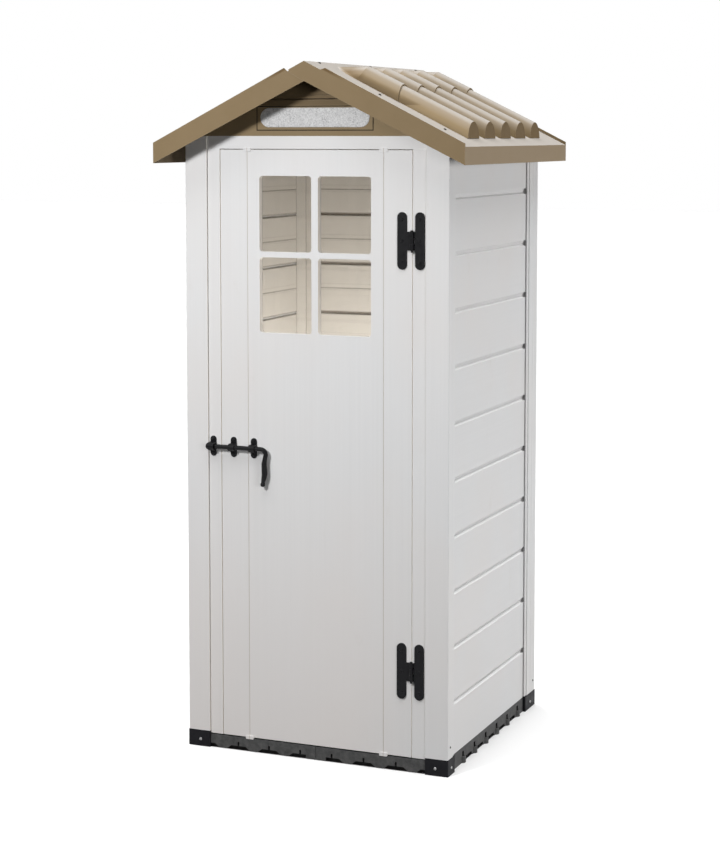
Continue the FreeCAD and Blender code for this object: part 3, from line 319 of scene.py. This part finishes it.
    def roughness(self, out):
        self.join(out, self.shader.inputs["Roughness"])

    def bump(self, layers):
        """Bumps laid over each other, each as (height, distance, strength)."""
        previous = None
        for height, distance, strength in layers:
            node = self.add("ShaderNodeBump")
            node.inputs["Distance"].default_value = distance
            node.inputs["Strength"].default_value = strength
            self.join(height, node.inputs["Height"])
            if previous is not None:
                self.join(previous, node.inputs["Normal"])
            previous = node.outputs["Normal"]
        self.join(previous, self.shader.inputs["Normal"])


# White boards, posts and door

RUNS = {"x": (1.2, 130.0, 130.0), "y": (130.0, 1.2, 130.0), "z": (130.0, 130.0, 1.2)}


def white_dirt_and_painted_light(look, run, streaks, scuffs):
    """The outside colour: dirt, scuffs, a warmer tone low on the uprights, edges rubbed pale and
    painted as highlights, painted light on faces that look up and painted shade on faces that look
    down.
    """
    dirt = look.noise((2.3, 2.3, 1.7), 4.0)
    tone = look.ramp(streaks, WHITE)
    tone = look.mix(look.beyond(dirt, 0.42, 0.30, 0.8), tone, WHITE_DIRT)
    tone = look.mix(look.beyond(scuffs, 0.62, 0.18, 0.35), tone, WHITE_SCUFF)
    if run == "z":
        low_down = look.within(look.position("Z"), 0.1, 0.8, 0.7)
        leftward = look.spread(look.position("X"), 1.0, 0.1, 0.1, 0.32)
        tone = look.mix(look.both(low_down, leftward), tone, WHITE_LOW_DOWN)
    # Painted light on faces that look up, painted shade on faces that look down
    tone = look.mix(look.beyond(look.normal("Z"), 0.25, 0.35, 0.7), tone, WHITE_UPFACE_LIT)
    tone = look.mix(look.within(look.normal("Z"), -0.7, 0.45, 0.6), tone, WHITE_DOWNFACE_SHADE)
    # Edges rubbed pale, and painted as highlights
    tone = look.mix(look.both(look.edges(0.002), 0.8), tone, WHITE_RUBBED_LIT_EDGE)
    if run == "z":
        # A thin darker beige line along the seams of the door
        off_seam = look.maths("ABSOLUTE", look.maths("SUBTRACT", look.distance("X"), SEAM_X))
        tone = look.mix(look.within(off_seam, SEAM_HALF, 0.0005, 0.6), tone, SEAM_LINE)
    return tone


def beige_lining(look, run):
    """The inside colour, painted lighter near the door, with painted shade in its creases, in the
    grooves and at the ends of the boards, and dark dashes along the board joints.
    """
    deep = look.within(look.distance("Y"), DEEP_Y, 0.002)
    # Painted shade in the creases and in the middle groove of each board; dark dashes along the joints
    creases = look.both(look.edges(0.005, 0.01, 0.12), 0.7)
    if run != "z":
        above = look.maths("SUBTRACT", look.position("Z"), BOARD_BASE)
        height = look.maths("FRACT", look.maths("DIVIDE", above, BOARD_PITCH))
        off_middle = look.maths("ABSOLUTE", look.maths("SUBTRACT", height, 0.5))
        groove = look.within(off_middle, 0.024, 0.007, 0.85)
        dashes = look.beyond(look.noise((40.0, 40.0, 3.0), 2.0), 0.44, 0.06, 0.8)
        joint = look.both(look.within(height, 0.006, 0.004), dashes)
        creases = look.either(creases, look.either(groove, joint))
    creases = look.both(creases, deep)
    # Painted shade, near black at the ends of the boards
    shade_tone = CREASE
    if run == "y":
        board_end = look.beyond(look.distance("Y"), BOARD_END_Y, 0.007)
        shade_tone = look.mix(board_end, CREASE, BOARD_END_SHADE)
    # Painted light: the lining is lighter near the door
    return look.mix(creases, look.mix(deep, DOOR_LINING_LIT, LINING), shade_tone)


def white_plastic(run):
    """Extruded board: faint streaks along its run, a fine grain, soft dirt, painted light in the gaps,
    beige inside with painted shade.
    """
    look = Look("white_plastic_" + run, IOR=1.47, Specular_IOR_Level=0.2)
    streaks = look.noise(RUNS[run], 2.0)
    scuffs = look.noise((14.0, 14.0, 5.0), 6.0, 0.7)
    grain = look.noise(even(900.0), 1.0)
    across = look.within(look.distance("X"), LINING_X, 0.002)
    along = look.within(look.distance("Y"), LINING_Y, 0.002)
    # Painted light: faces inside the gaps beside the door are painted a lighter beige, so the gaps
    # look less dark
    lit_gap_face = look.both(look.beyond(look.normal_size("X"), 0.8, 0.15), across)
    outside = look.mix(lit_gap_face, white_dirt_and_painted_light(look, run, streaks, scuffs), WHITE_LIT_GAP)
    look.colour(look.mix(look.both(across, along), outside, beige_lining(look, run)))
    look.roughness(look.spread(streaks, 0.42, 0.54))
    look.bump([(streaks, 0.0003, 0.10), (grain, 0.00025, 0.15), (scuffs, 0.0003, 0.1)])
    return look.material


# Roof

def light_groove(look, at_end):
    """A mask of the groove round the light in the front gable, painted near black as shade."""
    low_x, high_x = LIGHT_GROOVE_X
    low_z, high_z = LIGHT_GROOVE_Z
    beside = look.distance("X")
    above = look.distance("Z", LIGHT_Z)
    panel = look.both(look.within(beside, high_x, 0.0004), look.within(above, high_z, 0.0004))
    rim = look.either(look.beyond(beside, low_x, 0.0004), look.beyond(above, low_z, 0.0004))
    in_gable = look.both(look.within(look.position("Y"), LIGHT_GROOVE_Y, 0.002), look.opposite(at_end))
    return look.both(panel, look.both(rim, in_gable))


def brown_plastic():
    """Moulded roof plastic with a fine grained skin, with painted light on the faces that look up to
    the sky.
    """
    look = Look("roof_plastic", IOR=1.47, Specular_IOR_Level=0.1)
    cloud = look.noise(even(4.0), 4.0)
    grain = look.noise(even(700.0), 2.0)
    streaks = look.noise((9.0, 60.0, 9.0), 3.0)
    tone = look.ramp(cloud, BROWN)
    tone = look.mix(look.spread(streaks, 0.0, 0.35), tone, BROWN_STREAK)
    # Painted light: faces that look up are painted lighter, the more so the more they face the sky
    tone = look.mix(look.beyond(look.normal("Z"), 0.40, 0.38, 0.7), tone, BROWN_SLOPE_LIT)
    tone = look.mix(look.beyond(look.normal("Z"), 0.74, 0.17, 0.9), tone, BROWN_SKY_LIT)
    # The upper ends of the tiles, darkened with painted shade
    plate = look.maths("MULTIPLY", look.distance("X"), SLOPE)
    raised = look.maths("ADD", look.maths("SUBTRACT", look.position("Z"), RIDGE_Z), plate)
    near_ridge = look.within(look.distance("X"), TILE_START_X, 0.05)
    tile_start = look.both(look.beyond(raised, 0.001, 0.005), near_ridge)
    tone = look.shade(tile_start, tone, TILE_START_SHADE)
    # Noses of the tiles in painted shade, and painted light on the eaves
    at_eave = look.beyond(look.distance("X"), EAVE_FACE_X, 0.006)
    outward = look.beyond(look.normal_size("X"), 0.80, 0.12)
    tone = look.mix(outward, tone, look.mix(at_eave, BROWN_NOSE_SHADE, BROWN_EAVE_LIT))
    # Edges worn paler, and painted as highlights
    worn_lit_edges = look.both(look.edges(0.0022), look.spread(cloud, 0.15, 0.5))
    tone = look.mix(worn_lit_edges, tone, BROWN_WORN_LIT_EDGE)
    # Painted shade on the fascia fronts, and on the gables high up behind them
    facing = look.beyond(look.normal_size("Y"), 0.8, 0.15)
    at_end = look.beyond(look.distance("Y"), ROOF_END_Y, 0.0015)
    tone = look.shade(look.both(facing, at_end), tone, FASCIA_SHADE)
    soffit = look.both(look.beyond(look.position("Z"), SOFFIT_Z, 0.003), look.opposite(at_end))
    tone = look.shade(look.both(soffit, facing), tone, SOFFIT_SHADE)
    tone = look.mix(light_groove(look, at_end), tone, BROWN_GROOVE_SHADE)
    # Painted shade: faces that look down are painted near black
    look.colour(look.mix(look.within(look.normal("Z"), -0.6, 0.4, 0.85), tone, BROWN_DOWNFACE_SHADE))
    look.roughness(look.spread(cloud, 0.5, 0.64))
    look.bump([(grain, 0.0004, 0.3)])
    return look.material


# Floor tiles, boots, iron, metal and panes

def floor_plastic():
    """Recycled dark plastic with a mottled, grained skin, painted black as shade in the recesses and
    underneath.
    """
    look = Look("floor_plastic", IOR=1.46, Specular_IOR_Level=0.25)
    mottle = look.noise(even(55.0), 5.0, 0.7)
    grain = look.noise(even(520.0), 2.0)
    tone = look.ramp(mottle, FLOOR_TILE)
    tone = look.mix(look.both(look.edges(0.0015), 0.4), tone, FLOOR_TILE_EDGE)
    across = look.within(look.distance("X"), SKIRT_X, 0.002)
    along = look.within(look.distance("Y"), SKIRT_Y, 0.002)
    low_down = look.within(look.position("Z"), DECK_Z, 0.002)
    # Painted shade inside the skirt, below the deck
    shaded_inside = look.both(look.both(across, along), low_down)
    look.colour(look.mix(shaded_inside, tone, FLOOR_TILE_SHADE_INSIDE))
    look.roughness(look.spread(mottle, 0.58, 0.72))
    look.bump([(mottle, 0.0008, 0.25), (grain, 0.0004, 0.3)])
    return look.material


def black_skin(name, colours, rough, scale):
    """Black plastic or coated iron with an orange-peel skin, rubbed a little paler on its edges."""
    look = Look(name, IOR=1.5, Specular_IOR_Level=0.12)
    peel = look.noise(even(scale), 2.0)
    wear = look.noise(even(60.0), 4.0)
    tone = look.ramp(wear, colours, 0.35, 0.75)
    rubbed = look.both(look.edges(0.0012), look.spread(wear, 0.1, 0.6))
    look.colour(look.mix(rubbed, tone, BLACK_EDGE))
    look.roughness(look.spread(wear, rough, rough + 0.14))
    look.bump([(peel, 0.0003, 0.35)])
    return look.material


def bare_metal(name, colour, rough, run):
    """Metal brushed along a run, a little paler in its streaks."""
    look = Look(name, Metallic=1.0)
    brushed = look.noise(run, 3.0)
    pale = tuple(min(1.0, c * 1.15) for c in colour)
    look.colour(look.ramp(brushed, (colour, pale)))
    look.roughness(look.spread(brushed, rough - 0.07, rough + 0.07))
    look.bump([(brushed, 0.0002, 0.25)])
    return look.material


def clear_pane():
    """Thin clear sheet with faint waviness and dust."""
    look = Look("clear_pane", IOR=1.46, Transmission_Weight=1.0)
    dust = look.noise(even(38.0), 5.0)
    wave = look.noise(even(7.0), 1.0)
    look.colour(look.ramp(dust, CLEAR, 0.4, 0.8))
    look.roughness(look.spread(dust, 0.03, 0.12))
    look.join(look.spread(dust, 0.06, 0.12), look.shader.inputs["Alpha"])
    look.bump([(wave, 0.001, 0.1)])
    return look.material


def frosted_pane():
    """Pale frosted plastic with small dark and light specks."""
    look = Look("frosted_pane", IOR=1.49, Specular_IOR_Level=0.3)
    crumbs = look.spots(even(260.0))
    patches = look.noise(even(45.0), 3.0)
    cloud = look.noise(even(190.0), 4.0, 0.7)
    specks = look.both(look.within(crumbs, 0.16, 0.14), look.beyond(patches, 0.45, 0.15))
    look.colour(look.mix(specks, look.ramp(cloud, FROSTED, 0.32, 0.68), SPECK))
    look.roughness(look.spread(cloud, 0.35, 0.6))
    look.bump([(crumbs, 0.0012, 0.4)])
    return look.material


# Which node gets which look

def paint(material, *names):
    for name in names:
        for slot in nodes[name].material_slots:
            slot.material = material


def pair(name, ends=("left", "right")):
    return [name + "_" + end for end in ends]


def paint_nodes():
    white = {run: white_plastic(run) for run in RUNS}
    paint(white["y"], *pair("wall_boards"), *pair("eave_rail"))
    paint(white["x"], "wall_boards_rear", "front_header", "rear_rail")
    for upright in ("post_front", "post_rear", "jamb", "door_stile", "door_joiner"):
        paint(white["z"], *pair(upright))
    paint(white["z"], "door_panel")

    brown = brown_plastic()
    paint(brown, *pair("roof_half"))
    for gable in ("gable_lower", "gable_upper"):
        paint(brown, *pair(gable, ("front", "rear")))

    paint(floor_plastic(), *pair("floor_tile"))
    boot = black_skin("foot_plastic", FOOT_BLACK, 0.45, 420.0)
    paint(boot, *pair("foot_front"), *pair("foot_rear"))
    paint(bare_metal("beam_metal", BEAM, 0.38, (60.0, 1.0, 60.0)), "ridge_beam")
    paint(clear_pane(), "door_window_pane")
    paint(frosted_pane(), "gable_light")

    iron = black_skin("black_metal", IRON_BLACK, 0.38, 420.0)
    for hinge in ("hinge_frame_leaf", "hinge_door_leaf", "hinge_pin"):
        paint(iron, *pair(hinge, ("upper", "lower")))
    paint(iron, "latch_keeper", "latch_keeper_cap", *pair("latch_strap", ("outer", "inner")))
    paint(iron, "bolt_rod", "bolt_handle")
    paint(iron, "hinge_frame_screws", "hinge_door_screws", "keeper_screws", "strap_screws")
    paint(bare_metal("screw_zinc", ZINC, 0.32, even(300.0)), "foot_screws")
    paint(bare_metal("screw_dull", DULL_ZINC, 0.42, even(300.0)), "post_screws", "roof_screws")


# Cross recesses of the screws, drawn as dark crosses of painted shade

def cross_plate(points, faces, at, out, reach):
    """A flat cross with twelve corners, lying on a screw head."""
    out = Vector(out).normalized()
    across = out.cross(Vector((0, 0, 1)))
    if across.length < 0.1:
        across = out.cross(Vector((0, 1, 0)))
    across.normalize()
    up = out.cross(across)
    arm = reach * CROSS_ARM
    corners = [(reach, -arm), (reach, arm), (arm, arm), (arm, reach), (-arm, reach), (-arm, arm)]
    corners += [(-a, -b) for a, b in corners]
    count = len(corners)
    base = len(points)
    for lift in (-CROSS_SUNK, CROSS_PROUD):
        points += [Vector(at) + out * lift + across * a + up * b for a, b in corners]
    faces.append(tuple(base + count + i for i in range(count)))
    for i in range(count):
        j = (i + 1) % count
        faces.append((base + i, base + j, base + count + j, base + count + i))


def make_drives(name, body, spots, reach, look):
    """The cross recesses of one set of screws, as dark crosses of painted shade on their heads."""
    points, faces = [], []
    for at, out in spots:
        cross_plate(points, faces, at, out, reach)
    mesh = bpy.data.meshes.new(name)
    mesh.from_pydata(points, [], faces)
    mesh.materials.append(look)
    plate = bpy.data.objects.new(name, mesh)
    bpy.context.scene.collection.objects.link(plate)
    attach(plate, body)


def foot_spots():
    """Top and direction of each boot screw, one on each outward face."""
    top_x, top_y = FOOT_SCREW_TOPS
    spots = []
    for sx in (-1, 1):
        for sy, leg in FOOT_LEGS:
            spots.append(((sx * FOOT_SCREW_X, sy * top_y, FOOT_SCREW_Z), (0, sy, 0)))
            spots.append(((sx * top_x, sy * (WALL_END_Y - leg / 2), FOOT_SCREW_Z), (sx, 0, 0)))
    return spots


def post_spots():
    x, y, z = POST_SCREW
    return [((sx * x, sy * y, z), (sx, 0, 0)) for sx in (-1, 1) for sy in (-1, 1)]


def roof_spots():
    """Top and direction of each roof screw: four on each half, and three along the ridge."""
    places = [(sx, x, sy * ROOF_SCREW_Y) for sx in (-1, 1) for sy in (-1, 1) for x in ROOF_SCREW_X]
    places += [(1, RIDGE_SCREW_X, sy * RIDGE_SCREW_Y) for sy in (-1, 0, 1)]
    spots = []
    for sx, x, y in places:
        out = Vector((sx * SLOPE, 0, 1)).normalized()
        spots.append((Vector((sx * x, y, RIDGE_Z - SLOPE * x)) + out * ROOF_SCREW_TALL, out))
    return spots


def dress_screws():
    recess = black_skin("screw_recess_shade", DRIVE_SHADE_BLACK, 0.5, 900.0)
    make_drives("foot_screw_drives", "root", foot_spots(), FOOT_CROSS, recess)
    make_drives("post_screw_drives", "root", post_spots(), POST_CROSS, recess)
    make_drives("roof_screw_drives", "root", roof_spots(), ROOF_CROSS, recess)


# Studio

def make_camera():
    bpy.context.scene.view_settings.view_transform = "Standard"
    data = bpy.data.cameras.new("camera")
    data.lens = CAMERA_LENS
    data.sensor_width = CAMERA_SENSOR
    data.shift_x, data.shift_y = CAMERA_SHIFT
    camera = bpy.data.objects.new("camera", data)
    camera.location = CAMERA_AT
    camera.rotation_euler = (math.radians(90) + CAMERA_TILT, 0, CAMERA_TURN)
    bpy.context.scene.collection.objects.link(camera)
    bpy.context.scene.camera = camera


def paper():
    """Pale paper, with a painted shadow where the cabinet stands, so that no light comes up through
    its skirt.
    """
    look = Look("floor_paper")
    tone = look.noise(even(0.8), 2.0)
    half_x, half_y = FLOOR_SHADOW_PATCH
    across = look.within(look.distance("X"), half_x, 0.001)
    along = look.within(look.distance("Y"), half_y, 0.001)
    look.colour(look.mix(look.both(across, along), look.ramp(tone, PAPER), PATCH_SHADOW))
    look.roughness(look.spread(tone, 0.8, 0.9))
    return look.material


def make_floor():
    mesh = bpy.data.meshes.new("floor")
    corners = [(x * FLOOR_REACH, y * FLOOR_REACH, 0) for x, y in ((-1, -1), (1, -1), (1, 1), (-1, 1))]
    mesh.from_pydata(corners, [], [(0, 1, 2, 3)])
    floor = bpy.data.objects.new("floor", mesh)
    bpy.context.scene.collection.objects.link(floor)
    mesh.materials.append(paper())
    floor.visible_diffuse = False


def softbox(name, at, aim, size, power, tint):
    data = bpy.data.lights.new(name, "AREA")
    data.shape = "RECTANGLE"
    data.size, data.size_y = size
    data.energy = power
    data.color = tint
    light = bpy.data.objects.new(name, data)
    light.location = at
    light.visible_camera = False
    light.rotation_euler = (Vector(aim) - Vector(at)).to_track_quat("-Z", "Y").to_euler()
    bpy.context.scene.collection.objects.link(light)


def make_world():
    """White paper behind the object, and as a light a bright patch of sky straight overhead."""
    world = bpy.data.worlds.new("studio")
    bpy.context.scene.world = world
    world.use_nodes = True
    tree = world.node_tree
    tree.nodes.clear()
    out = tree.nodes.new("ShaderNodeOutputWorld")
    seen = tree.nodes.new("ShaderNodeBackground")
    room = tree.nodes.new("ShaderNodeBackground")
    rays = tree.nodes.new("ShaderNodeLightPath")
    choose = tree.nodes.new("ShaderNodeMixShader")
    place = tree.nodes.new("ShaderNodeTexCoord")
    split = tree.nodes.new("ShaderNodeSeparateXYZ")
    sky = tree.nodes.new("ShaderNodeMapRange")
    sky.interpolation_type = "SMOOTHSTEP"
    sky.inputs["From Min"].default_value = SKY_FROM
    sky.inputs["From Max"].default_value = SKY_FULL
    sky.inputs["To Min"].default_value = ROOM_LIGHT
    sky.inputs["To Max"].default_value = SKY_LIGHT
    for background in (seen, room):
        background.inputs["Color"].default_value = (*WHITE_LIGHT, 1.0)
    join = tree.links.new
    join(place.outputs["Generated"], split.inputs["Vector"])
    join(split.outputs["Z"], sky.inputs["Value"])
    join(sky.outputs["Result"], room.inputs["Strength"])
    join(rays.outputs["Is Camera Ray"], choose.inputs["Fac"])
    join(room.outputs["Background"], choose.inputs[1])
    join(seen.outputs["Background"], choose.inputs[2])
    join(choose.outputs["Shader"], out.inputs["Surface"])


make_camera()
make_world()
for lamp in LAMPS:
    softbox(*lamp)
make_floor()
paint_nodes()
dress_screws()
